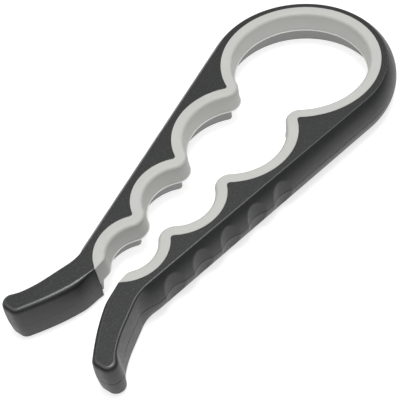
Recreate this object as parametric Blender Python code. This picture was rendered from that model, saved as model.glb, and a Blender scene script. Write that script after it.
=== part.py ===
"""Hand-held jar and bottle opener: a grip wrench with one round loop and three pairs of scallops.

Two arms join at the crown of the loop. Squeezing the handles bends the crown, and the
soft liner of the loop or of a scallop pair closes on a lid. Each arm is two hollow plastic
half-shells that meet at mid-height, two soft liner halves and a set of screws from below.
The crown's flexure is opened into a hinge: a 0.3 mm slot splits the two arms there.

Lengths are in millimetres until MM turns them into metres. The origin is under the middle of
the bounding box, +X points to the crown, +Y to the left arm and +Z up.
"""
import bpy
import bmesh
from math import asin, atan2, cos, hypot, pi, radians, sin, sqrt

MM = 0.001

# Driving dimensions
THICKNESS = 22.4          # height of the body, face to face
GAP = 0.3                 # running gap between neighbouring pieces
LOOP_RADIUS = 42.0        # plastic-to-liner boundary of the round loop
SCALLOPS = ((-60.4, -1.3, 32.8), (-106.8, -0.8, 24.0), (-142.5, -3.5, 20.8))  # x, y, radius
CUSP_RADIUS = 1.5         # rounding of the plastic cusps between scallops
SHARPEST_CUSP = 0.2       # rounding that is always left where a cusp is cut back
CROWN_SHIFT = -0.8        # centre of the outer crown arc, from the loop's centre
CROWN_RADIUS = 45.5       # outer crown arc on the top face
TAPER = 10.2              # degrees that each arm's outer edge closes towards the handle
ARM_LENGTH = 149.4        # straight outer edge of the arm
FLARE_RADIUS = 20.0       # concave bend where the handle turns outwards
FLARE_TURN = 27.3
HANDLE_STRAIGHT = 11.9
HORN_RADIUS = 55.5        # outward curve of the handle's end
HORN_TURN = 18.0
TIP_RADIUS = 2.2          # corners of the handle's end, seen from above
WALL_START = (-160.6, 7.4)  # where the liner gives way to the handle's inner wall
WALL_HEADING = 165.0
WALL_TURN = 16.5
WALL_LENGTH = 30.0
TIP_X = -195.9            # end of the handle on the top face

# Cross-section of the sides: (edge rounding, mid-height bulge)
ARM_SIDE = (0.0, 4.9)
HANDLE_SIDE = (1.0, 0.5)
TIP_SIDE = (2.2, 0.8)
WALL_SIDE = (2.3, 1.0)
WALL_SIDE_AT_LINER = (0.6, 0.6)
SIDE_CHANGE = (-152.0, -166.0)  # x range in which the arm's section becomes the handle's
WALL_CHANGE = 12.0        # length in which the inner wall's section grows to full
OUTER_TIP_CHANGE = (8.0, 2.0)   # distances from the handle's end in which the end's section
INNER_TIP_CHANGE = (5.0, 1.0)   # takes over, along the outer edge and along the inner wall

# Finger dimples on the outside of each arm
DIMPLE_COUNT = 6
DIMPLE_FIRST = 66.7       # along the straight edge, to the first dimple's middle
DIMPLE_PITCH = 17.6
DIMPLE_FLOOR = (2.0, 3.3)  # side offset of the hollow's floor at the face and at mid-height
DIMPLE_RADIUS = 10.5      # hollow's radius, seen from above
DIMPLE_STEPS = (-7.5, -4.5, -1.5, 1.5, 4.5, 7.5)

# Soft liner: inward offset from the boundary at depths below the nearer face
UPPER_LINER = ((0.0, 4.2), (0.6, 5.3), (1.8, 6.0))
LINER_RIDGE = 6.7         # offset of the upper half's lower edge
LOWER_LINER = ((0.0, 0.6), (0.3, 0.8))   # the lower half is a thin band, set well back
LINER_END = 0.9           # how far the liner's back stops short of the handle's inner wall
LINER_END_SHARPER = 0.4   # the end's rounding, seen from above, is this much below the offset
LOWER_LINER_STOP = (2.5, 0.2)  # how far the lower half ends short of the wall: front, then back

# Hollows and screws
ROOF = 2.0                # wall over a pocket
WALL = 2.2                # wall between a pocket and the liner
POCKETS = ((-24.0, -52.0), (-78.0, -100.0), (-119.0, -136.5))  # x ranges in the arm
HANDLE_POCKET = (-155.5, -160.0, -164.5, -189.5)
ROOF_INSET = 0.3          # a pocket's outer wall, inside the top edge at the roof
ARM_GROWTH = 0.8          # and outside it at the open face, in the arm
HANDLE_GROWTH = 0.5       # and in the handle
CUT_PAST = 1.0            # how far a cutter runs past the face it opens
SCREW_SPOTS = ((-38.0, 31.5), (-89.0, 24.0), (-128.0, 18.3), (-175.0, 17.2))
SCREW_RADIUS = 1.45
SCREW_POINT = (2.0, 0.3)  # length of the point, and its end as a share of the radius
SCREW_HEAD_RADIUS = 2.75
SCREW_HEAD_CROWN = (0.5, 0.8)  # height of the head's bevel, and its face as a share
SCREW_HEAD_BASE = 2.6
SCREW_HEAD_TOP = 4.2
SCREW_TIP = 17.5
HEAD_GAP = 0.4            # round the head in its counterbore
BLIND_END = 0.5           # free depth past the screw's point
BOSS_RADIUS = 4.5
UPPER_BOSS_RADIUS = 3.3

# Fineness of the surface
CROWN_PIECES = 12
TAPER_PIECES = 2
ARM_PIECES = 5
BEND_PIECES = 4
STRAIGHT_PIECES = 2
WALL_PIECES = 5
CORNER_PIECES = 4
INNER_CORNER_PIECES = 3
LOOP_PIECES = 18
SCALLOP_PIECES = 7
NOSE_PIECES = 3
BOSS_SEGMENTS = 20
HOLE_SEGMENTS = 14
SCREW_SEGMENTS = 12
SHARP_ANGLE = 28.0

MID = THICKNESS / 2
HALF_DEPTH = MID - GAP / 2
SIDE_DEPTHS = (0.0, 0.8, 2.5, 5.5, HALF_DEPTH)
CROWN_REACH = CROWN_SHIFT + CROWN_RADIUS + ARM_SIDE[1]
TIP_REACH = -TIP_X + sum(TIP_SIDE)
LOOP_X = (TIP_REACH - CROWN_REACH) / 2   # the loop's centre, from the origin

PLASTIC = ("dark_plastic", (0.045, 0.047, 0.049, 1.0), 0.42)
SOFT = ("grey_soft_plastic", (0.56, 0.56, 0.52, 1.0), 0.6)
STEEL = ("zinc_plated_steel", (0.55, 0.55, 0.56, 1.0), 0.3)


def lerp(a, b, t):
    return a + (b - a) * t


def ramp(value, start, end):
    """Smooth 0 to 1 as value goes from start to end."""
    t = min(1.0, max(0.0, (value - start) / (end - start)))
    return t * t * (3 - 2 * t)


def arc(centre, radius, start, end, pieces):
    """Points of an arc, both ends included; angles in radians."""
    angles = [lerp(start, end, i / pieces) for i in range(pieces + 1)]
    return [(centre[0] + radius * cos(a), centre[1] + radius * sin(a)) for a in angles]


def trace(x, y, heading, moves):
    """Walk a path of (length, turn in degrees, pieces) and give (x, y, heading) along it."""
    heading = radians(heading)
    path = [(x, y, heading)]
    for length, turn, pieces in moves:
        step = length / pieces
        for _ in range(pieces):
            heading += radians(turn) / pieces / 2
            x += step * cos(heading)
            y += step * sin(heading)
            heading += radians(turn) / pieces / 2
            path.append((x, y, heading))
    return path


def side_offset(side, depth):
    """How far a side stands out from its top edge, at a depth below the nearer face."""
    rounding, bulge = side
    offset = 0.0
    if rounding > 0:
        offset += sqrt(max(0.0, rounding ** 2 - max(0.0, rounding - depth) ** 2))
    if bulge > 0:
        radius = (MID ** 2 + bulge ** 2) / (2 * bulge)
        offset += bulge - radius + sqrt(radius ** 2 - (MID - depth) ** 2)
    return offset


def nose_centre(first, second, offset=0.0):
    """Centre of the rounding between two neighbouring circles of the opening, set in by offset."""
    radius = nose_radius(offset)
    (ax, ay, ar), (bx, by, br) = first, second
    ar, br = ar - offset + radius, br - offset + radius
    span = hypot(bx - ax, by - ay)
    along = (ar ** 2 - br ** 2 + span ** 2) / (2 * span)
    across = sqrt(ar ** 2 - along ** 2)
    ux, uy = (bx - ax) / span, (by - ay) / span
    return ax + along * ux + across * uy, ay + along * uy - across * ux


def nose_radius(offset):
    return max(SHARPEST_CUSP, CUSP_RADIUS + offset)


CIRCLES = ((0.0, 0.0, LOOP_RADIUS),) + SCALLOPS


def angle_to(a, b):
    return atan2(b[1] - a[1], b[0] - a[0])


def opening_arcs(offset):
    """The opening's outline from the crown to the last scallop's start, set in by offset."""
    noses = [nose_centre(CIRCLES[i], CIRCLES[i + 1], offset) for i in range(len(SCALLOPS))]
    points = arc((0, 0), LOOP_RADIUS - offset, 0.0, angle_to((0, 0), noses[0]), LOOP_PIECES)
    for i, nose in enumerate(noses):
        before, after = CIRCLES[i], CIRCLES[i + 1]
        start, end = angle_to(nose, before), angle_to(nose, after)
        points += arc(nose, nose_radius(offset), start, end, NOSE_PIECES)[1:]
        if i + 1 < len(noses):
            start, end = angle_to(after, nose), angle_to(after, noses[i + 1])
            points += arc(after, after[2] - offset, start, end, SCALLOP_PIECES)[1:]
    return points, angle_to(CIRCLES[-1], noses[-1])


def boundary(offset, end_y):
    """Opening outline that ends on the last scallop's arc at height end_y."""
    points, start = opening_arcs(offset)
    last = CIRCLES[-1]
    radius = last[2] - offset
    end = pi - asin((end_y - last[1]) / radius)
    return points + arc(last, radius, start, end, SCALLOP_PIECES)[1:]


def liner_edge(offset, end_x, end_y):
    """Liner's inner outline: the last scallop rounds off into the handle's inner wall."""
    points, start = opening_arcs(offset)
    last = CIRCLES[-1]
    radius = offset - LINER_END_SHARPER
    reach = last[2] - offset + radius
    nose_y = end_y + radius
    nose = (last[0] - sqrt(reach ** 2 - (nose_y - last[1]) ** 2), nose_y)
    points += arc(last, last[2] - offset, start, angle_to(last, nose), SCALLOP_PIECES)[1:]
    points += arc(nose, radius, angle_to(nose, last), -pi / 2, NOSE_PIECES)[1:]
    points.append((end_x, end_y))
    return points


def outer_path():
    """Outer top edge from the crown round the handle's outer corner, with its side section."""
    path = trace(CROWN_SHIFT + CROWN_RADIUS, 0.0, 90.0, [
        (CROWN_RADIUS * radians(90), 90, CROWN_PIECES),
        (CROWN_RADIUS * radians(TAPER), TAPER, TAPER_PIECES)])
    x0, y0, heading = path[-1]
    stations = [s * DIMPLE_FIRST / ARM_PIECES for s in range(1, ARM_PIECES)]
    for i in range(DIMPLE_COUNT):
        stations += [DIMPLE_FIRST + i * DIMPLE_PITCH + step for step in DIMPLE_STEPS]
    stations = [s for s in stations if s < ARM_LENGTH] + [ARM_LENGTH]
    path += [(x0 + s * cos(heading), y0 + s * sin(heading), heading) for s in stations]
    x, y, heading = path[-1]
    path += trace(x, y, heading * 180 / pi, [
        (FLARE_RADIUS * radians(FLARE_TURN), -FLARE_TURN, BEND_PIECES),
        (HANDLE_STRAIGHT, 0.0, STRAIGHT_PIECES),
        (HORN_RADIUS * radians(HORN_TURN), -HORN_TURN, BEND_PIECES)])[1:]
    x, y, heading = path[-1]
    turn = 270 - heading * 180 / pi
    path += trace(x, y, heading * 180 / pi, [
        (TIP_RADIUS * radians(turn), turn, CORNER_PIECES)])[1:]
    result = []
    for x, y, heading in path:
        handle = ramp(x, *SIDE_CHANGE)
        tip = ramp(x - TIP_X, *OUTER_TIP_CHANGE)
        side = [lerp(lerp(ARM_SIDE[k], HANDLE_SIDE[k], handle), TIP_SIDE[k], tip) for k in (0, 1)]
        along = (x0 - x) / cos(radians(TAPER))
        result.append((x, y, sin(heading), -cos(heading), side, along))
    return result


def inner_path():
    """Top edge of the handle's inner wall, from the liner to the handle's end."""
    path = trace(*WALL_START, WALL_HEADING, [(WALL_LENGTH, -WALL_TURN, WALL_PIECES)])
    x, y, heading = path[-1]
    turn = heading * 180 / pi - 90
    corner_x = TIP_X + TIP_RADIUS * (1 - cos(radians(turn)))
    straight = (x - corner_x) / -cos(heading)
    path += trace(x, y, heading * 180 / pi, [
        (straight, 0.0, 1), (TIP_RADIUS * radians(turn), -turn, INNER_CORNER_PIECES)])[1:]
    result = []
    for x, y, heading in path:
        grow = ramp(WALL_START[0] - x, 0.0, WALL_CHANGE)
        tip = ramp(x - TIP_X, *INNER_TIP_CHANGE)
        side = [lerp(lerp(WALL_SIDE_AT_LINER[k], WALL_SIDE[k], grow), TIP_SIDE[k], tip)
                for k in (0, 1)]
        result.append((x, y, -sin(heading), cos(heading), side, -1.0))
    return result


def with_dimples(offset, depth, along):
    """A side's offset after the finger dimples are scooped out of it."""
    for i in range(DIMPLE_COUNT):
        away = along - DIMPLE_FIRST - i * DIMPLE_PITCH
        if abs(away) < DIMPLE_PITCH:
            floor = lerp(*DIMPLE_FLOOR, depth / MID)
            offset = min(offset, floor + away ** 2 / (2 * DIMPLE_RADIUS))
    return offset


def set_out(path, depth):
    """Path points moved out to the side's surface at a depth below the face."""
    points = []
    for x, y, nx, ny, side, along in path:
        offset = with_dimples(side_offset(side, depth), depth, along)
        points.append((x + nx * offset, y + ny * offset))
    return points


def inset(path, amount):
    return [(x - nx * amount, y - ny * amount) for x, y, nx, ny, side, along in path]


def between(points, start, end):
    """The stretch of a path from x = start to x = end, cut at both ends."""
    kept = [p for p in points if end < p[0] < start]
    for limit, place in ((start, 0), (end, len(kept) + 1)):
        for (ax, ay), (bx, by) in zip(points, points[1:]):
            if (ax - limit) * (bx - limit) <= 0 and ax != bx and ay > 0:
                kept.insert(place, (limit, lerp(ay, by, (limit - ax) / (bx - ax))))
                break
    return kept


OUTER = outer_path()
INNER = inner_path()


def wall_corner(depth):
    """Where the handle's inner wall meets the opening, at a depth below the nearer face."""
    return set_out(INNER[:1], depth)[0]


def shell_outline(depth):
    outer = set_out(OUTER, depth)
    outer[0] = (outer[0][0], GAP / 2)
    wall = set_out(INNER, depth)
    opening = boundary(-GAP / 2, wall[0][1])[:-1]
    opening[0] = (opening[0][0], GAP / 2)
    return outer + wall[::-1] + opening[::-1]


def liner_outline(depth, offset, upper):
    """Plan outline of a liner half; the lower one stops short of the handle's inner wall."""
    end_x, end_y = wall_corner(depth)
    if upper:
        back = boundary(GAP / 2, end_y + LINER_END)
        end_x += GAP
    else:
        end_y += LOWER_LINER_STOP[0]
        back = boundary(GAP / 2, end_y + LOWER_LINER_STOP[1])
        end_x = back[-1][0]
    back[0] = (back[0][0], GAP / 2)
    front = liner_edge(offset, end_x, end_y)
    front[0] = (front[0][0], GAP / 2)
    return back + front[::-1]


def new_object(name, bm, finish):
    bmesh.ops.recalc_face_normals(bm, faces=bm.faces)
    mesh = bpy.data.meshes.new(name)
    bm.to_mesh(mesh)
    bm.free()
    obj = bpy.data.objects.new(name, mesh)
    bpy.context.collection.objects.link(obj)
    if finish is None:
        obj.hide_render = True
        obj.display_type = "WIRE"
    else:
        mesh.materials.append(material(*finish))
        mesh.shade_smooth()
        mesh.set_sharp_from_angle(angle=radians(SHARP_ANGLE))
    return obj


def material(name, colour, roughness):
    mat = bpy.data.materials.get(name) or bpy.data.materials.new(name)
    mat.use_nodes = True
    shader = mat.node_tree.nodes["Principled BSDF"]
    shader.inputs["Base Color"].default_value = colour
    shader.inputs["Roughness"].default_value = roughness
    shader.inputs["Metallic"].default_value = 1.0 if "steel" in name else 0.0
    return mat


def loft(bm, layers, side, upper):
    """Close a body through outlines at depths below the face; mirrored for side or lower half."""
    rows = []
    for depth, outline in layers:
        z = THICKNESS - depth if upper else depth
        rows.append([bm.verts.new(((x + LOOP_X) * MM, side * y * MM, z * MM)) for x, y in outline])
    count = len(rows[0])
    for low, high in zip(rows, rows[1:]):
        for i in range(count):
            j = (i + 1) % count
            bm.faces.new((low[i], low[j], high[j], high[i]))
    bm.faces.new(rows[0])
    bm.faces.new(rows[-1][::-1])


def tube(bm, spot, side, radii_heights, segments):
    """Turned body round a vertical line, from (radius, height) pairs; closed by end caps."""
    rows = []
    for radius, z in radii_heights:
        ring = [(spot[0] + radius * cos(2 * pi * k / segments),
                 spot[1] + radius * sin(2 * pi * k / segments)) for k in range(segments)]
        rows.append([bm.verts.new(((x + LOOP_X) * MM, side * y * MM, z * MM)) for x, y in ring])
    for low, high in zip(rows, rows[1:]):
        for i in range(segments):
            j = (i + 1) % segments
            bm.faces.new((low[i], low[j], high[j], high[i]))
    bm.faces.new(rows[0])
    bm.faces.new(rows[-1][::-1])


def pocket_layers():
    """Outlines of the hollows of one half-shell, at its roof and just past its open face."""
    layers = []
    for start, end in POCKETS:
        pair = []
        for depth, grow in ((ROOF, -ROOF_INSET), (HALF_DEPTH + CUT_PAST, ARM_GROWTH)):
            outer = between(inset(OUTER, -grow), start, end)
            lining = between(boundary(-WALL, WALL_START[1]), start, end)
            pair.append((depth, [outer[0], outer[-1]] + lining[::-1]))
        layers.append(pair)
    first, last, wall_first, wall_last = HANDLE_POCKET
    pair = []
    for depth, grow in ((ROOF, -ROOF_INSET), (HALF_DEPTH + CUT_PAST, HANDLE_GROWTH)):
        outer = between(inset(OUTER, -grow), first, wall_last)
        lining = between(boundary(-WALL, WALL_START[1]), first, last)
        wall = between(inset(INNER, -grow), wall_first, wall_last)
        pair.append((depth, outer + wall[::-1] + lining[::-1]))
    layers.append(pair)
    return layers


def boolean(target, cutter, operation):
    modifier = target.modifiers.new(cutter.name, "BOOLEAN")
    modifier.operation = operation
    modifier.object = cutter


def half_shell(name, side, upper):
    bm = bmesh.new()
    loft(bm, [(depth, shell_outline(depth)) for depth in SIDE_DEPTHS], side, upper)
    shell = new_object(name, bm, PLASTIC)
    bm = bmesh.new()
    for layers in pocket_layers():
        loft(bm, layers, side, upper)
    boolean(shell, new_object(name + "_pockets", bm, None), "DIFFERENCE")
    bosses, holes = bmesh.new(), bmesh.new()
    narrow = SCREW_RADIUS + GAP
    for spot in SCREW_SPOTS:
        if upper:
            radius = UPPER_BOSS_RADIUS
            boss = (MID + GAP / 2, THICKNESS - ROOF / 2)
            hole = ((narrow, MID - CUT_PAST), (narrow, SCREW_TIP + BLIND_END))
        else:
            radius = BOSS_RADIUS
            boss = (ROOF / 2, MID - GAP / 2)
            wide, seat = SCREW_HEAD_RADIUS + HEAD_GAP, SCREW_HEAD_TOP + GAP
            hole = ((wide, -CUT_PAST), (wide, seat), (narrow, seat), (narrow, MID + CUT_PAST))
        tube(bosses, spot, side, ((radius, boss[0]), (radius, boss[1])), BOSS_SEGMENTS)
        tube(holes, spot, side, hole, HOLE_SEGMENTS)
    boolean(shell, new_object(name + "_bosses", bosses, None), "UNION")
    boolean(shell, new_object(name + "_holes", holes, None), "DIFFERENCE")


def half_liner(name, side, upper):
    ridge = LINER_RIDGE if upper else LOWER_LINER[-1][1]
    profile = (UPPER_LINER if upper else LOWER_LINER) + ((HALF_DEPTH, ridge),)
    bm = bmesh.new()
    layers = [(depth, liner_outline(depth, offset, upper)) for depth, offset in profile]
    loft(bm, layers, side, upper)
    new_object(name, bm, SOFT)


def screw(name, spot, side):
    bm = bmesh.new()
    point, point_share = SCREW_POINT
    bevel, face_share = SCREW_HEAD_CROWN
    tube(bm, spot, side, (
        (SCREW_HEAD_RADIUS * face_share, SCREW_HEAD_BASE),
        (SCREW_HEAD_RADIUS, SCREW_HEAD_BASE + bevel),
        (SCREW_HEAD_RADIUS, SCREW_HEAD_TOP),
        (SCREW_RADIUS, SCREW_HEAD_TOP),
        (SCREW_RADIUS, SCREW_TIP - point),
        (SCREW_RADIUS * point_share, SCREW_TIP)), SCREW_SEGMENTS)
    new_object(name, bm, STEEL)


def build():
    for obj in list(bpy.data.objects):
        bpy.data.objects.remove(obj)
    for label, side in (("left", 1), ("right", -1)):
        half_shell("upper_shell_" + label, side, True)
        half_shell("lower_shell_" + label, side, False)
        half_liner("upper_liner_" + label, side, True)
        half_liner("lower_liner_" + label, side, False)
        for number, spot in enumerate(SCREW_SPOTS, 1):
            screw("screw_%s_%d" % (label, number), spot, side)


build()
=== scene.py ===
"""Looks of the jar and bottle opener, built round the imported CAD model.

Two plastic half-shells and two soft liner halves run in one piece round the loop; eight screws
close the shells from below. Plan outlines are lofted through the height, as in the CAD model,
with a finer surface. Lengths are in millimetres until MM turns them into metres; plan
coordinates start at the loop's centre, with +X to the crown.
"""
from math import asin, atan2, cos, hypot, pi, radians, sin, sqrt

import bmesh
import bpy
from mathutils import Matrix, Vector


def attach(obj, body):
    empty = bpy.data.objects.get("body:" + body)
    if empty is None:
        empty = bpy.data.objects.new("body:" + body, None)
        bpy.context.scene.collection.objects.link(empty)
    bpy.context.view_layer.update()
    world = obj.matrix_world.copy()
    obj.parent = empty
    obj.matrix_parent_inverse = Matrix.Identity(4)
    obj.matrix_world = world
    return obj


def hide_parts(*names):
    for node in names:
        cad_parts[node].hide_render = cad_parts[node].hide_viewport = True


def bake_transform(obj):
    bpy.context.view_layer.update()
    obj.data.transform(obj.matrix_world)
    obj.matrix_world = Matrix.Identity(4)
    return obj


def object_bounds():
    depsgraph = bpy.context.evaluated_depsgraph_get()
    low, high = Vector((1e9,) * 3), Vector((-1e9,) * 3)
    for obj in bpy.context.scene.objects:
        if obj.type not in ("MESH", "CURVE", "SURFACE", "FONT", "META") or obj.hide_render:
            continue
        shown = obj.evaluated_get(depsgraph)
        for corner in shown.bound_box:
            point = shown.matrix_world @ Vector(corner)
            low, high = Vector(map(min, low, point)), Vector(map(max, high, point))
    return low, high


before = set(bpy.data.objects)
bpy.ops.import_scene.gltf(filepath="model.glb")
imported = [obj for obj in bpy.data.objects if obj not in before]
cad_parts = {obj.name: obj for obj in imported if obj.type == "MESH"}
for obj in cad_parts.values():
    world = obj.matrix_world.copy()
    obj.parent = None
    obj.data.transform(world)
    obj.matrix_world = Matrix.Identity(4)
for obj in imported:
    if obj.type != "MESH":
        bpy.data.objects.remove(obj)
CAD_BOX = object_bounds()

MM = 0.001
RIGHT, LEFT = "right_arm", "left_arm"

# The CAD model's driving dimensions
LOW, HIGH = CAD_BOX
THICKNESS = (HIGH.z - LOW.z) / MM
LOOP_RADIUS = 42.0
SCALLOPS = ((-60.4, -1.3, 32.8), (-106.8, -0.8, 24.0), (-142.5, -3.5, 20.8))
CUSP_RADIUS = 1.5
CROWN_SHIFT = -0.8
CROWN_RADIUS = 45.5
TAPER = 10.2
ARM_LENGTH = 149.4
FLARE_RADIUS = 20.0
FLARE_TURN = 27.3
HANDLE_STRAIGHT = 11.9
HORN_RADIUS = 55.5
HORN_TURN = 18.0
TIP_RADIUS = 2.2
WALL_START = (-160.6, 7.4)
WALL_HEADING = 165.0
WALL_TURN = 16.5
WALL_LENGTH = 30.0
TIP_X = -195.8            # 0.1 mm short of the CAD model's, to stay inside it
ARM_SIDE = (0.0, 4.9)
HANDLE_SIDE = (1.0, 0.5)
TIP_SIDE = (2.2, 0.8)
WALL_SIDE = (2.3, 1.0)
WALL_SIDE_AT_LINER = (0.6, 0.6)
SIDE_CHANGE = (-152.0, -166.0)
WALL_CHANGE = 12.0
OUTER_TIP_CHANGE = (8.0, 2.0)
INNER_TIP_CHANGE = (5.0, 1.0)
DIMPLE_COUNT = 6
DIMPLE_FIRST = 66.7
DIMPLE_PITCH = 17.6
DIMPLE_FLOOR = (2.0, 3.3)
DIMPLE_RADIUS = 10.5
UPPER_LINER = 4.2         # offset of the liner's inner edge at the face
LINER_ROUND = 1.75
LINER_RIDGE = 6.7         # offset of the upper liner's lower edge
LOWER_LINER = 0.8         # the lower liner is a thin band, set well back
LINER_END = 0.9           # how far short of the handle's wall the liner's back ends
LINER_END_SHARPER = 0.4   # its end rounds off by this much less than the liner's offset
LOWER_LINER_STOP = (2.5, 0.2)   # how far the lower liner stops short of that wall; its back more
SCREW_SPOTS = ((-38.0, 31.5), (-89.0, 24.0), (-128.0, 18.3), (-175.0, 17.2))
SCREW_RADIUS = 1.45
SCREW_HEAD_RADIUS = 2.75
SCREW_HEAD_BASE = 2.6
SCREW_HEAD_TOP = 4.2
SCREW_TIP = 17.5
HEAD_GAP = 0.4            # between a screw head and its counterbore
LOOP_X = HIGH.x / MM - CROWN_SHIFT - CROWN_RADIUS - ARM_SIDE[1]
MID = THICKNESS / 2

# Finish of the visible surface
STEP = 0.9                # spacing of outline points along the body
ARM_STEP = 0.45           # and along the arms, where the dimples are
EDGE = 0.28               # rounding of the shells' crisp edges
LINER_SEAM = 0.05         # half the visible gap between liner and shell
SHELL_SEAM = 0.03         # half the visible gap between the two shells
RIDGE_SEAM = 0.03         # half the visible gap between the two liner halves
CREASE = 0.12             # softening of the dimples' rims
BOTTOM_ROUND = 2.1        # extra rounding under the handles
GROOVE = (0.16, 0.14, 0.5)   # seam groove: half height at the mouth and inside, and depth
OPENING_EDGE = 0.15       # rounding of the shells' edge beside the liner
LINER_BACK_EDGE = 0.12    # rounding of the liner's edge beside the shell
LOWER_LINER_EDGE = 0.25   # rounding of the lower liner's inner edge
LIP = 0.5                 # ledge along the upper liner's lower edge
LIP_TOP = 0.45            # heights over mid-height in which the ledge sticks out
LIP_EDGE = 0.2
TIP_STEP = 0.3            # spacing of outline points round the handles' ends
LOOP_SECTIONS = 120       # outline points on the loop, a scallop and a nose
SCALLOP_SECTIONS = 40
NOSE_SECTIONS = 16
END_SECTIONS = 4          # and along the liner's straight end

# Screws, and the holes they sit in
SCREW_SEGMENTS = 24
HEAD_DOME = ((0.35, 0.0), (0.6, 0.06), (0.8, 0.2), (0.93, 0.42), (1.0, 0.75))
HEAD_BEVEL = 0.12
NECK = (0.2, 0.3)         # fillet under the head: width and height
THREAD_START = 0.5        # below the head
THREAD_PITCH = 1.1
THREAD_CREST = 0.28
THREAD_SHARPNESS = 5.0
THREAD_LEVELS = 64
TIP_TAPER = 2.5           # length of the tapered tip
TAPER_POWER = 0.7
TIP_FLAT = 0.08
RECESS_ANGLES = (45.0, 135.0)
RECESS_MOUTH = (2.9, 0.75, -0.4)   # a recess blade's length, width and height from the head
RECESS_FLOOR = (1.5, 0.45, 1.2)
HOLE_SEGMENTS = 48
MOUTH_CHAMFER = 0.3
SEAT_GAP = 0.05
SHANK_GAP = 0.1
HOLE_STOP = 1.0           # the screw holes stop this far below mid-height
SCREW_TURN = 37.0         # degrees from one screw's recess to the next one's


def lerp(a, b, t):
    return a + (b - a) * t


def ramp(value, start, end):
    """Smooth 0 to 1 as value goes from start to end."""
    t = min(1.0, max(0.0, (value - start) / (end - start)))
    return t * t * (3 - 2 * t)


def soft_min(a, b, width):
    """The smaller of two values, with the corner between them rounded over width."""
    h = max(width - abs(a - b), 0.0) / width
    return min(a, b) - h * h * width / 4


def arc(centre, radius, start, end, sections):
    """Points (x, y) along an arc, both ends included."""
    angles = [lerp(start, end, i / sections) for i in range(sections + 1)]
    return [(centre[0] + radius * cos(a), centre[1] + radius * sin(a)) for a in angles]


def trace(x, y, heading, moves, step=STEP):
    """Walks (length, turn in degrees) moves from a point; gives (x, y, heading in radians)."""
    path = [(x, y, heading)]
    for length, turn in moves:
        pieces = max(2, round(length / (ARM_STEP if turn == 0.0 else step)))
        for _ in range(pieces):
            heading += radians(turn) / pieces / 2
            x += length / pieces * cos(heading)
            y += length / pieces * sin(heading)
            heading += radians(turn) / pieces / 2
            path.append((x, y, heading))
    return path


# ---------------------------------------------------------------- plan outlines

def side_offset(side, depth):
    """How far a side stands out from its top edge, at a depth below the nearer face."""
    rounding, bulge = side
    edge = max(rounding, EDGE)
    offset = sqrt(max(0.0, edge ** 2 - max(0.0, edge - depth) ** 2)) - (edge - rounding)
    if bulge > 0:
        radius = (MID ** 2 + bulge ** 2) / (2 * bulge)
        offset += bulge - radius + sqrt(radius ** 2 - (MID - depth) ** 2)
    return offset


def angle_to(a, b):
    return atan2(b[1] - a[1], b[0] - a[0])


def meeting(first, second, growth):
    """Where two circles cross once both radii have grown; the crossing on the body's side."""
    (ax, ay, ar), (bx, by, br) = first, second
    ar, br = ar + growth, br + growth
    span = hypot(bx - ax, by - ay)
    along = (ar ** 2 - br ** 2 + span ** 2) / (2 * span)
    across = sqrt(ar ** 2 - along ** 2)
    ux, uy = (bx - ax) / span, (by - ay) / span
    return ax + along * ux + across * uy, ay + along * uy - across * ux


CIRCLES = ((0.0, 0.0, LOOP_RADIUS),) + SCALLOPS
NOSES = [meeting(CIRCLES[i], CIRCLES[i + 1], CUSP_RADIUS) for i in range(len(SCALLOPS))]


def opening_arcs(offset):
    """The opening's outline from the crown to the last scallop's start, set in by offset."""
    end = angle_to((0, 0), NOSES[0])
    points = arc((0, 0), LOOP_RADIUS - offset, 0.0, end, LOOP_SECTIONS)
    for i, nose in enumerate(NOSES):
        before, after = CIRCLES[i], CIRCLES[i + 1]
        start, end = angle_to(nose, before), angle_to(nose, after)
        points += arc(nose, CUSP_RADIUS + offset, start, end, NOSE_SECTIONS)[1:]
        if i + 1 < len(NOSES):
            start, end = angle_to(after, nose), angle_to(after, NOSES[i + 1])
            points += arc(after, after[2] - offset, start, end, SCALLOP_SECTIONS)[1:]
    return points


def boundary(offset, end_y):
    """Opening outline that ends on the last scallop's arc at height end_y."""
    last = CIRCLES[-1]
    start = angle_to(last, NOSES[-1])
    end = pi - asin((end_y - last[1]) / (last[2] - offset))
    tail = arc(last, last[2] - offset, start, end, SCALLOP_SECTIONS)[1:]
    return opening_arcs(offset) + tail


def liner_edge(offset, end_x, end_y):
    """Liner's inner outline: the last scallop rounds off into the handle's inner wall."""
    last = CIRCLES[-1]
    radius = offset - LINER_END_SHARPER
    nose_y = end_y + radius
    reach = last[2] - offset + radius
    nose = (last[0] - sqrt(reach ** 2 - (nose_y - last[1]) ** 2), nose_y)
    start, end = angle_to(last, NOSES[-1]), angle_to(last, nose)
    points = opening_arcs(offset)
    points += arc(last, last[2] - offset, start, end, SCALLOP_SECTIONS)[1:]
    points += arc(nose, radius, angle_to(nose, last), -pi / 2, NOSE_SECTIONS)[1:]
    x = points[-1][0]
    straight = [lerp(x, end_x, k / END_SECTIONS) for k in range(1, END_SECTIONS + 1)]
    return points + [(at, end_y) for at in straight]


def mix_sides(a, b, t):
    return tuple(lerp(a[k], b[k], t) for k in (0, 1))


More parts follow.
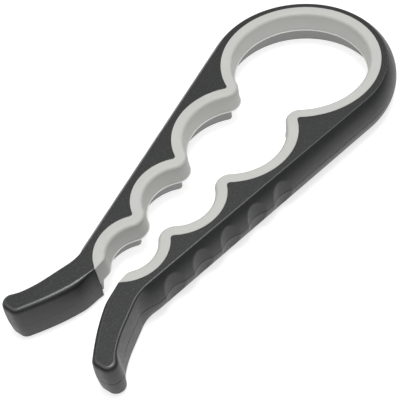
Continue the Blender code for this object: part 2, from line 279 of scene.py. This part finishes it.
def outer_path():
    """(x, y, normal x, normal y, side, distance along the arm) of the outer top edge."""
    heading = radians(90)
    moves = ((CROWN_RADIUS * radians(90 + TAPER), 90 + TAPER), (ARM_LENGTH, 0.0),
             (FLARE_RADIUS * radians(FLARE_TURN), -FLARE_TURN), (HANDLE_STRAIGHT, 0.0),
             (HORN_RADIUS * radians(HORN_TURN), -HORN_TURN))
    path = trace(CROWN_SHIFT + CROWN_RADIUS, 0.0, heading, moves)
    corner_turn = 270 - path[-1][2] * 180 / pi
    corner = (TIP_RADIUS * radians(corner_turn), corner_turn)
    path += trace(*path[-1], (corner,), TIP_STEP)[1:]
    tangent_x = CROWN_SHIFT + CROWN_RADIUS * cos(radians(90 + TAPER))
    result = []
    for x, y, heading in path:
        side = mix_sides(ARM_SIDE, HANDLE_SIDE, ramp(x, *SIDE_CHANGE))
        side = mix_sides(side, TIP_SIDE, ramp(x - TIP_X, *OUTER_TIP_CHANGE))
        along = (tangent_x - x) / cos(radians(TAPER))
        result.append((x, y, sin(heading), -cos(heading), side, along))
    return result


def inner_path():
    """Top edge of the handle's inner wall, from the liner to the handle's end."""
    path = trace(*WALL_START, radians(WALL_HEADING), ((WALL_LENGTH, -WALL_TURN),))
    x, y, heading = path[-1]
    turn = heading * 180 / pi - 90
    corner_x = TIP_X + TIP_RADIUS * (1 - cos(radians(turn)))
    straight = (x - corner_x) / -cos(heading)
    path += trace(x, y, heading, ((straight, 0.0),))[1:]
    path += trace(*path[-1], ((TIP_RADIUS * radians(turn), -turn),), TIP_STEP)[1:]
    result = []
    for x, y, heading in path:
        side = mix_sides(WALL_SIDE_AT_LINER, WALL_SIDE, ramp(WALL_START[0] - x, 0, WALL_CHANGE))
        side = mix_sides(side, TIP_SIDE, ramp(x - TIP_X, *INNER_TIP_CHANGE))
        result.append((x, y, -sin(heading), cos(heading), side, -DIMPLE_PITCH))
    return result


OUTER = outer_path()
INNER = inner_path()


def with_dimples(offset, depth, along):
    """A side's offset after the finger dimples are scooped out of it."""
    for i in range(DIMPLE_COUNT):
        away = along - DIMPLE_FIRST - i * DIMPLE_PITCH
        if abs(away) < DIMPLE_PITCH:
            floor = lerp(*DIMPLE_FLOOR, depth / MID) + away ** 2 / (2 * DIMPLE_RADIUS)
            offset = soft_min(offset, floor, CREASE)
    return offset


def edge_round(depth, radius):
    """Inset of a small rounding at the top of a wall."""
    return radius - sqrt(max(0.0, radius ** 2 - max(0.0, radius - depth) ** 2))


def set_out(path, depth, inset=0.0, upper=True):
    """Path points moved out to the side's surface at a depth below the nearer face."""
    points = []
    for x, y, nx, ny, side, along in path:
        offset = with_dimples(side_offset(side, depth), depth, along) - inset
        if not upper:
            offset -= ramp(x, *SIDE_CHANGE) * edge_round(depth, BOTTOM_ROUND)
        points.append((x + nx * offset, y + ny * offset))
    return points


def both_arms(left_half):
    """Closes an outline: the left half from crown to crown, then its mirror image."""
    first, last = left_half[0], left_half[-1]
    middle = left_half[1:-1]
    return [(first[0], 0.0)] + middle + [(last[0], 0.0)] + [(x, -y) for x, y in middle[::-1]]


def wall_corner(depth, upper):
    """Where the handle's inner wall meets the opening, at a depth below the nearer face."""
    return set_out(INNER[:1], depth, 0.0, upper)[0]


def shell_outline(depth, upper):
    """Whole plan outline of a half-shell at a depth below its face."""
    groove = GROOVE[2] * ramp(depth, MID - GROOVE[0], MID - GROOVE[1])
    end_y = wall_corner(depth, upper)[1]
    opening = boundary(-LINER_SEAM - edge_round(depth, OPENING_EDGE), end_y)[:-1]
    return both_arms(set_out(OUTER, depth, groove, upper)
                     + set_out(INNER, depth, 0.0, upper)[::-1] + opening[::-1])


def upper_liner_offset(depth):
    """Inward offset of the upper liner's wall: rounded at the face, drafted, with a thin lip."""
    wall = lerp(UPPER_LINER + LINER_ROUND, LINER_RIDGE - LIP, depth / MID)
    lip = LIP * ramp(depth, MID - LIP_TOP, MID - LIP_EDGE)
    return wall + lip - edge_round(depth, LINER_ROUND)


def lower_liner_offset(depth):
    return LOWER_LINER - edge_round(depth, LOWER_LINER_EDGE)


def liner_outline(depth, upper):
    """Whole plan outline of a liner half; the lower one stops short of the handle's wall."""
    end_x, end_y = wall_corner(depth, upper)
    seam = LINER_SEAM + edge_round(depth, LINER_BACK_EDGE)
    if upper:
        back = boundary(seam, end_y + LINER_END)
        front = liner_edge(upper_liner_offset(depth), end_x + 2 * LINER_SEAM, end_y)
    else:
        end_y += LOWER_LINER_STOP[0]
        back = boundary(seam, end_y + LOWER_LINER_STOP[1])
        front = liner_edge(lower_liner_offset(depth), back[-1][0], end_y)
    return both_arms(back + front[::-1])


# ---------------------------------------------------------------- mesh building

SHARP_ANGLE = 40
SHELL_DEPTHS = (0.0, 0.03, 0.08, 0.16, 0.28, 0.5, 0.8, 1.2, 1.7, 2.3, 2.7, 3.1, 3.5, 3.9, 4.3, 4.7,
                5.2, 5.8, 6.4, 7.1, 7.9, 8.8, 9.8, MID - GROOVE[0], MID - GROOVE[1],
                MID - SHELL_SEAM)
LINER_DEPTHS = (0.0, 0.03, 0.08, 0.18, 0.35, 0.6, 0.9, 1.25, 1.75, 2.5, 4.0, 6.0, 8.0, 10.0,
                MID - LIP_TOP, MID - 0.4, MID - 0.35, MID - 0.3, MID - 0.25, MID - LIP_EDGE,
                MID - RIDGE_SEAM)


def loft(name, outline, depths, upper):
    """A closed body through plan outlines at depths below its face."""
    bm = bmesh.new()
    rings = []
    for depth in depths:
        z = THICKNESS - depth if upper else depth
        rings.append([(x + LOOP_X, y, z) for x, y in outline(depth, upper)])
    closed_body(bm, rings)
    bmesh.ops.recalc_face_normals(bm, faces=bm.faces)
    return finish_mesh(name, bm)


def finish_mesh(name, bm):
    """An object with sharp edges marked; quads are shaded smooth and end caps flat."""
    mesh = bpy.data.meshes.new(name)
    bm.to_mesh(mesh)
    bm.free()
    mesh.shade_smooth()
    mesh.set_sharp_from_angle(angle=radians(SHARP_ANGLE))
    for face in mesh.polygons:
        face.use_smooth = len(face.vertices) <= 4
    obj = bpy.data.objects.new(name, mesh)
    bpy.context.scene.collection.objects.link(obj)
    return obj


def closed_body(bm, rings):
    """Joins rings of (x, y, z) points, in millimetres, into a body closed at both ends."""
    rows = [[bm.verts.new((x * MM, y * MM, z * MM)) for x, y, z in ring] for ring in rings]
    for low, high in zip(rows, rows[1:]):
        for i in range(len(low)):
            j = (i + 1) % len(low)
            bm.faces.new((low[i], low[j], high[j], high[i]))
    bm.faces.new(rows[0][::-1])
    bm.faces.new(rows[-1])


def ring_points(radii, z, centre=(0.0, 0.0)):
    """One ring of a turned body: a radius for each of its points."""
    turns = [2 * pi * k / len(radii) for k in range(len(radii))]
    return [(centre[0] + radius * cos(turn), centre[1] + radius * sin(turn), z)
            for radius, turn in zip(radii, turns)]


def cut(target, cutter):
    """Boolean difference, applied; the cutter is removed."""
    modifier = target.modifiers.new("cut", "BOOLEAN")
    modifier.operation = "DIFFERENCE"
    modifier.object = cutter
    depsgraph = bpy.context.evaluated_depsgraph_get()
    mesh = bpy.data.meshes.new_from_object(target.evaluated_get(depsgraph))
    target.modifiers.clear()
    old = target.data
    target.data = mesh
    mesh.name = target.name
    bpy.data.meshes.remove(old)
    bpy.data.objects.remove(cutter)


def all_spots():
    """(side and number, body, x, y) of the eight screws, in the row frame in millimetres."""
    for label, side, body in (("left", 1, LEFT), ("right", -1, RIGHT)):
        for number, (x, y) in enumerate(SCREW_SPOTS, 1):
            yield "%s_%d" % (label, number), body, x + LOOP_X, side * y


# ---------------------------------------------------------------- materials

PLASTIC_DARK = (0.013, 0.0135, 0.014, 1)
PLASTIC_CLOUD = (0.018, 0.0188, 0.0192, 1)
PLASTIC_SPECK = (0.06, 0.061, 0.061, 1)
# colour of the painted highlight on the rounded edges
PLASTIC_EDGE_HIGHLIGHT = (0.10, 0.101, 0.102, 1)
GRAIN_SCALES = (1300.0, 600.0, 45.0)    # noise scales: fine grain, coarse grain, clouds
FLAT_FACE = (0.985, 0.998)              # how far a normal is upright where the grain starts
EDGE_HIGHLIGHT_TILT = (0.80, 0.88)                # and where a rounded edge is painted paler, as a highlight
EDGE_HIGHLIGHT_SHARE = 0.6
DRAWN_SIDE = (0.6, 0.9)                 # and where a side is rougher than an edge
SIDE_ROUGHER = 0.14
EDGE_ROUGHNESS = 0.28
FACE_ROUGHNESS = 0.50
SPECKS = (0.52, 0.68, 0.0, 0.6)         # grain from and to, share of speck from and to
ROUGHNESS_WEAR = (0.3, 0.7, -0.04, 0.05)
BUMP_STRENGTHS = (0.01, 0.25)           # off and on the grained faces
PLASTIC_BUMP = 0.00025

LINER_GREY = (0.49, 0.49, 0.465, 1)
LINER_CLOUD = (0.56, 0.56, 0.535, 1)
LINER_SPOT = (0.42, 0.42, 0.40, 1)
# colour of the painted highlight along the upper liner's lip
LINER_LIP_HIGHLIGHT = (0.74, 0.74, 0.73, 1)
# colour of the painted shade on the lower liner, under the upper liner's overhang
LINER_LOWER_SHADE = (0.30, 0.30, 0.297, 1)
LINER_SCALES = (60.0, 2600.0)           # noise scales: mottle and grain
LINER_SPOTS = (0.62, 0.78, 0.0, 0.25)
LINER_ROUGHNESS = (0.3, 0.7, 0.5, 0.62)
LIP_HIGHLIGHT_FADE = 0.1                          # height over which the painted highlight on the lip fades
LOWER_SHADE_FADE = 0.02                       # and the lower half's painted shade
SUBSURFACE = (0.08, (0.002, 0.0018, 0.0015))   # weight and radius

STEEL_DULL = (0.42, 0.42, 0.41, 1)
STEEL_BRIGHT = (0.66, 0.66, 0.67, 1)
STEEL_SCALES = (700.0, 6000.0)          # noise scales: patches and marks
STEEL_ROUGHNESS = (0.3, 0.7, 0.22, 0.42)

FLOOR_GREYS = ((0.45, 0.45, 0.45, 1), (0.47, 0.47, 0.47, 1))
FLOOR_ROUGHNESS = 0.85
FLOOR_GLOW = 0.72


def new_material(name):
    """A node material, with its nodes and links."""
    mat = bpy.data.materials.new(name)
    mat.use_nodes = True
    return mat, mat.node_tree.nodes, mat.node_tree.links


def add_node(nodes, kind, **values):
    """A node with its inputs, or its own settings, given by name."""
    node = nodes.new(kind)
    for key, value in values.items():
        if key in node.inputs:
            node.inputs[key].default_value = value
        else:
            setattr(node, key, value)
    return node


def noise(nodes, links, coordinates, scale, detail):
    node = add_node(nodes, "ShaderNodeTexNoise", Scale=scale, Detail=detail)
    links.new(coordinates, node.inputs["Vector"])
    return node.outputs["Fac"]


def map_range(nodes, links, value, low, high, to_low, to_high):
    """Maps a value from low..high to to_low..to_high, clamped at both ends."""
    node = nodes.new("ShaderNodeMapRange")
    links.new(value, node.inputs["Value"])
    for key, number in (("From Min", low), ("From Max", high),
                        ("To Min", to_low), ("To Max", to_high)):
        node.inputs[key].default_value = number
    return node.outputs["Result"]


def mix_colour(nodes, links, factor, a, b):
    """A mix of two colours; each input is a socket or a fixed value."""
    node = nodes.new("ShaderNodeMix")
    node.data_type = "RGBA"
    for socket, value in ((node.inputs["Factor"], factor), (node.inputs[6], a), (node.inputs[7], b)):
        if isinstance(value, (tuple, float)):
            socket.default_value = value
        else:
            links.new(value, socket)
    return node.outputs[2]


def math_node(nodes, links, operation, a, b):
    node = nodes.new("ShaderNodeMath")
    node.operation = operation
    for socket, value in zip(node.inputs, (a, b)):
        if isinstance(value, float):
            socket.default_value = value
        else:
            links.new(value, socket)
    return node.outputs[0]


def dark_plastic():
    """Moulded polypropylene: spark-eroded grain on the flat faces, smoother drawn sides; a painted
    highlight pales the rounded edges.
    """
    mat, nodes, links = new_material("dark_plastic")
    shader = nodes["Principled BSDF"]
    place = nodes.new("ShaderNodeTexCoord").outputs["Object"]
    geometry = nodes.new("ShaderNodeNewGeometry")
    split = nodes.new("ShaderNodeSeparateXYZ")
    links.new(geometry.outputs["Normal"], split.inputs[0])
    up = math_node(nodes, links, "ABSOLUTE", split.outputs["Z"], 0.0)
    flat = map_range(nodes, links, up, *FLAT_FACE, 0.0, 1.0)
    grain = noise(nodes, links, place, GRAIN_SCALES[0], 4.0)
    coarse = noise(nodes, links, place, GRAIN_SCALES[1], 2.0)
    cloud = noise(nodes, links, place, GRAIN_SCALES[2], 3.0)
    # painted highlight: rounded edges tilted between these normals get a paler base colour
    edge_highlight = map_range(nodes, links, up, *EDGE_HIGHLIGHT_TILT, 0.0, EDGE_HIGHLIGHT_SHARE)
    not_flat = math_node(nodes, links, "SUBTRACT", 1.0, flat)
    edge_highlight = math_node(nodes, links, "MULTIPLY", edge_highlight, not_flat)
    base = mix_colour(nodes, links, cloud, PLASTIC_DARK, PLASTIC_CLOUD)
    speck = map_range(nodes, links, grain, *SPECKS)
    speck = math_node(nodes, links, "MULTIPLY", speck, flat)
    base = mix_colour(nodes, links, speck, base, PLASTIC_SPECK)
    base = mix_colour(nodes, links, edge_highlight, base, PLASTIC_EDGE_HIGHLIGHT)
    links.new(base, shader.inputs["Base Color"])
    side = map_range(nodes, links, up, *DRAWN_SIDE, SIDE_ROUGHER, 0.0)
    rough = map_range(nodes, links, flat, 0.0, 1.0, EDGE_ROUGHNESS, FACE_ROUGHNESS)
    rough = math_node(nodes, links, "ADD", rough, side)
    wear = map_range(nodes, links, coarse, *ROUGHNESS_WEAR)
    links.new(math_node(nodes, links, "ADD", rough, wear), shader.inputs["Roughness"])
    height = math_node(nodes, links, "ADD", grain, coarse)
    strength = map_range(nodes, links, flat, 0.0, 1.0, *BUMP_STRENGTHS)
    bump = add_node(nodes, "ShaderNodeBump", Distance=PLASTIC_BUMP)
    links.new(strength, bump.inputs["Strength"])
    links.new(height, bump.inputs["Height"])
    links.new(bump.outputs["Normal"], shader.inputs["Normal"])
    return mat


def soft_liner():
    """Soft grip plastic: pale warm grey, satin, mottled; a painted highlight on the lip, painted
    shade below it.
    """
    mat, nodes, links = new_material("grey_liner")
    shader = nodes["Principled BSDF"]
    place = nodes.new("ShaderNodeTexCoord").outputs["Object"]
    mottle = noise(nodes, links, place, LINER_SCALES[0], 4.0)
    grain = noise(nodes, links, place, LINER_SCALES[1], 2.0)
    base = mix_colour(nodes, links, mottle, LINER_GREY, LINER_CLOUD)
    spot = map_range(nodes, links, grain, *LINER_SPOTS)
    base = mix_colour(nodes, links, spot, base, LINER_SPOT)
    height = nodes.new("ShaderNodeSeparateXYZ")
    links.new(place, height.inputs[0])
    level = height.outputs["Z"]
    # painted shade: everything below mid-height is painted darker
    lower = map_range(nodes, links, level, MID * MM, (MID - LOWER_SHADE_FADE) * MM, 0.0, 1.0)
    # painted highlight: the lip just above mid-height is painted paler
    lip = map_range(nodes, links, level, (MID + LIP_TOP + LIP_HIGHLIGHT_FADE) * MM,
                    (MID + LIP_EDGE) * MM, 0.0, 1.0)
    base = mix_colour(nodes, links, lip, base, LINER_LIP_HIGHLIGHT)
    base = mix_colour(nodes, links, lower, base, LINER_LOWER_SHADE)
    links.new(base, shader.inputs["Base Color"])
    rough = map_range(nodes, links, mottle, *LINER_ROUGHNESS)
    links.new(rough, shader.inputs["Roughness"])
    shader.inputs["Subsurface Weight"].default_value = SUBSURFACE[0]
    shader.inputs["Subsurface Radius"].default_value = SUBSURFACE[1]
    bump = add_node(nodes, "ShaderNodeBump", Strength=0.12, Distance=0.0002)
    links.new(grain, bump.inputs["Height"])
    links.new(bump.outputs["Normal"], shader.inputs["Normal"])
    return mat


def screw_steel():
    """Zinc-plated steel with fine marks, dull in patches."""
    mat, nodes, links = new_material("screw_steel")
    shader = nodes["Principled BSDF"]
    place = nodes.new("ShaderNodeTexCoord").outputs["Object"]
    tarnish = noise(nodes, links, place, STEEL_SCALES[0], 4.0)
    base = mix_colour(nodes, links, tarnish, STEEL_DULL, STEEL_BRIGHT)
    links.new(base, shader.inputs["Base Color"])
    shader.inputs["Metallic"].default_value = 1.0
    rough = map_range(nodes, links, tarnish, *STEEL_ROUGHNESS)
    links.new(rough, shader.inputs["Roughness"])
    marks = noise(nodes, links, place, STEEL_SCALES[1], 2.0)
    bump = add_node(nodes, "ShaderNodeBump", Strength=0.1, Distance=0.0001)
    links.new(marks, bump.inputs["Height"])
    links.new(bump.outputs["Normal"], shader.inputs["Normal"])
    return mat


def floor_material():
    """Plain pale floor with a faint glow, so that shadows stay light."""
    mat, nodes, links = new_material("pale_floor")
    shader = nodes["Principled BSDF"]
    place = nodes.new("ShaderNodeTexCoord").outputs["Object"]
    soft = noise(nodes, links, place, 3.0, 2.0)
    links.new(mix_colour(nodes, links, soft, *FLOOR_GREYS), shader.inputs["Base Color"])
    shader.inputs["Roughness"].default_value = FLOOR_ROUGHNESS
    shader.inputs["Emission Color"].default_value = (1.0, 1.0, 1.0, 1.0)
    shader.inputs["Emission Strength"].default_value = FLOOR_GLOW
    return mat


# ---------------------------------------------------------------- pieces

PLASTIC = dark_plastic()
SOFT = soft_liner()
STEEL = screw_steel()


def bend_at_crown(obj, slot_name, *nodes):
    """Bakes the piece's placement into its mesh and hides the CAD parts it stands in for."""
    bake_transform(obj)
    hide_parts(*nodes)


def counterbores():
    """Cutter for the screw holes in the underside, with a small chamfer at each mouth."""
    bm = bmesh.new()
    wide = SCREW_HEAD_RADIUS + HEAD_GAP
    narrow = SCREW_RADIUS + SHANK_GAP
    seat = SCREW_HEAD_TOP + SEAT_GAP
    rows = ((wide + 2 * MOUTH_CHAMFER, -MOUTH_CHAMFER), (wide + MOUTH_CHAMFER, 0.0),
            (wide, MOUTH_CHAMFER), (wide, seat), (narrow, seat), (narrow, MID - HOLE_STOP))
    for _, _, x, y in all_spots():
        closed_body(bm, [ring_points([radius] * HOLE_SEGMENTS, z, (x, y)) for radius, z in rows])
    return finish_mesh("counterbores", bm)


def make_shells():
    upper = loft("upper_shell", shell_outline, SHELL_DEPTHS, True)
    lower = loft("lower_shell", shell_outline, SHELL_DEPTHS, False)
    cut(lower, counterbores())
    for shell, level in ((upper, "upper"), (lower, "lower")):
        shell.data.materials.clear()
        shell.data.materials.append(PLASTIC)
        bend_at_crown(shell, "dark_plastic", level + "_shell_left", level + "_shell_right")


def make_liners():
    for level in ("upper", "lower"):
        liner = loft(level + "_liner", liner_outline, LINER_DEPTHS, level == "upper")
        liner.data.materials.append(SOFT)
        bend_at_crown(liner, "grey_liner", level + "_liner_left", level + "_liner_right")


def thread_radii(z):
    """The screw's radius at a height, all round: a helical thread that tapers to the tip."""
    core = SCREW_RADIUS - THREAD_CREST
    taper = min(1.0, (SCREW_TIP - z) / TIP_TAPER) ** TAPER_POWER
    radii = []
    for k in range(SCREW_SEGMENTS):
        phase = (z / THREAD_PITCH - k / SCREW_SEGMENTS) % 1.0
        tooth = THREAD_CREST * max(0.0, 1.0 - abs(phase - 0.5) * THREAD_SHARPNESS)
        radii.append((core + tooth) * taper + TIP_FLAT)
    return radii


def recess_blade(angle):
    """One of the two crossed blades that cut the recess; each narrows with depth."""
    bm = bmesh.new()
    corners = bmesh.ops.create_cube(bm, size=1.0)["verts"]
    for vert in corners:
        length, width, height = RECESS_FLOOR if vert.co.z > 0 else RECESS_MOUTH
        vert.co.x *= length * MM
        vert.co.y *= width * MM
        vert.co.z = (SCREW_HEAD_BASE + height) * MM
    bmesh.ops.rotate(bm, verts=corners, matrix=Matrix.Rotation(radians(angle), 3, "Z"))
    return finish_mesh("recess_blade", bm)


def screw_mesh():
    """Pan-head self-tapping screw, head down, with a cross recess and a helical thread."""
    core = SCREW_RADIUS - THREAD_CREST
    rows = [(SCREW_HEAD_RADIUS * share, SCREW_HEAD_BASE + rise) for share, rise in HEAD_DOME]
    rows += [(SCREW_HEAD_RADIUS, SCREW_HEAD_TOP - HEAD_BEVEL),
             (SCREW_HEAD_RADIUS - HEAD_BEVEL, SCREW_HEAD_TOP),
             (core + NECK[0], SCREW_HEAD_TOP), (core, SCREW_HEAD_TOP + NECK[1])]
    rings = [ring_points([radius] * SCREW_SEGMENTS, z) for radius, z in rows]
    for level in range(THREAD_LEVELS + 1):
        z = lerp(SCREW_HEAD_TOP + THREAD_START, SCREW_TIP, level / THREAD_LEVELS)
        rings.append(ring_points(thread_radii(z), z))
    bm = bmesh.new()
    closed_body(bm, rings)
    screw = finish_mesh("screw", bm)
    for angle in RECESS_ANGLES:
        cut(screw, recess_blade(angle))
    return screw


def make_screws():
    pattern = screw_mesh()
    pattern.data.materials.clear()
    pattern.data.materials.append(STEEL)
    for turn, (name, body, x, y) in enumerate(all_spots()):
        screw = bpy.data.objects.new("screw_fine_" + name, pattern.data.copy())
        bpy.context.scene.collection.objects.link(screw)
        screw.location = (x * MM, y * MM, 0.0)
        screw.rotation_euler = (0.0, 0.0, radians(SCREW_TURN * turn))
        bpy.context.view_layer.update()
        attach(screw, body)
        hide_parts("screw_" + name)
    bpy.data.objects.remove(pattern)


# ---------------------------------------------------------------- stage

CAMERA_PLACE = (-0.22712, -0.20579, 0.35688)
VIEW_DIRECTION = (0.45477, 0.44876, -0.76930)
CAMERA_ROLL = -10.85      # degrees
CAMERA_SENSOR = 36.0      # mm
CAMERA_LENS = 83.54
FLOOR_SIZE = 3.0
WORLD_HEIGHTS = (0.5, 0.8)     # the sky brightens between these heights
WORLD_LEVELS = (0.12, 0.85)
BACKDROP = (0.9, 0.9, 0.9, 1.0)
LIGHTS = (("overhead", (0.02, -0.05, 1.1), (0.42, 0.42), 5.5),
          ("crown_side", (0.32, -0.05, 1.08), (0.5, 0.5), 1.8))


def make_camera():
    camera = bpy.data.objects.new("camera", bpy.data.cameras.new("camera"))
    bpy.context.scene.collection.objects.link(camera)
    camera.data.sensor_width = CAMERA_SENSOR
    camera.data.lens = CAMERA_LENS
    camera.data.clip_start = 0.01
    back = -Vector(VIEW_DIRECTION).normalized()
    right = Vector((0, 0, 1)).cross(back).normalized()
    up = back.cross(right)
    roll = radians(CAMERA_ROLL)
    turned_right = right * cos(roll) + up * sin(roll)
    turned_up = up * cos(roll) - right * sin(roll)
    axes = Matrix((turned_right, turned_up, back)).transposed().to_4x4()
    camera.matrix_world = Matrix.Translation(CAMERA_PLACE) @ axes
    bpy.context.scene.camera = camera


def make_floor():
    bm = bmesh.new()
    bmesh.ops.create_grid(bm, x_segments=8, y_segments=8, size=FLOOR_SIZE)
    floor = finish_mesh("floor", bm)
    floor.data.materials.append(floor_material())


def area_light(name, place, size, power):
    """A rectangular light that faces the row frame's origin."""
    data = bpy.data.lights.new(name, "AREA")
    data.shape = "RECTANGLE"
    data.size, data.size_y = size
    data.energy = power
    light = bpy.data.objects.new(name, data)
    bpy.context.scene.collection.objects.link(light)
    light.location = place
    light.rotation_euler = (-Vector(place)).to_track_quat("-Z", "Y").to_euler()


def make_lights():
    world = bpy.data.worlds.new("studio")
    bpy.context.scene.world = world
    world.use_nodes = True
    nodes, links = world.node_tree.nodes, world.node_tree.links
    background = nodes["Background"]
    place = nodes.new("ShaderNodeTexCoord").outputs["Generated"]
    split = nodes.new("ShaderNodeSeparateXYZ")
    links.new(place, split.inputs[0])
    level = map_range(nodes, links, split.outputs["Z"], *WORLD_HEIGHTS, *WORLD_LEVELS)
    seen = nodes.new("ShaderNodeLightPath").outputs["Is Camera Ray"]
    level = mix_colour(nodes, links, seen, level, BACKDROP)
    links.new(level, background.inputs["Color"])
    for light in LIGHTS:
        area_light(*light)
    bpy.context.scene.view_settings.view_transform = "Standard"


make_camera()
make_floor()
make_lights()
make_shells()
make_liners()
make_screws()
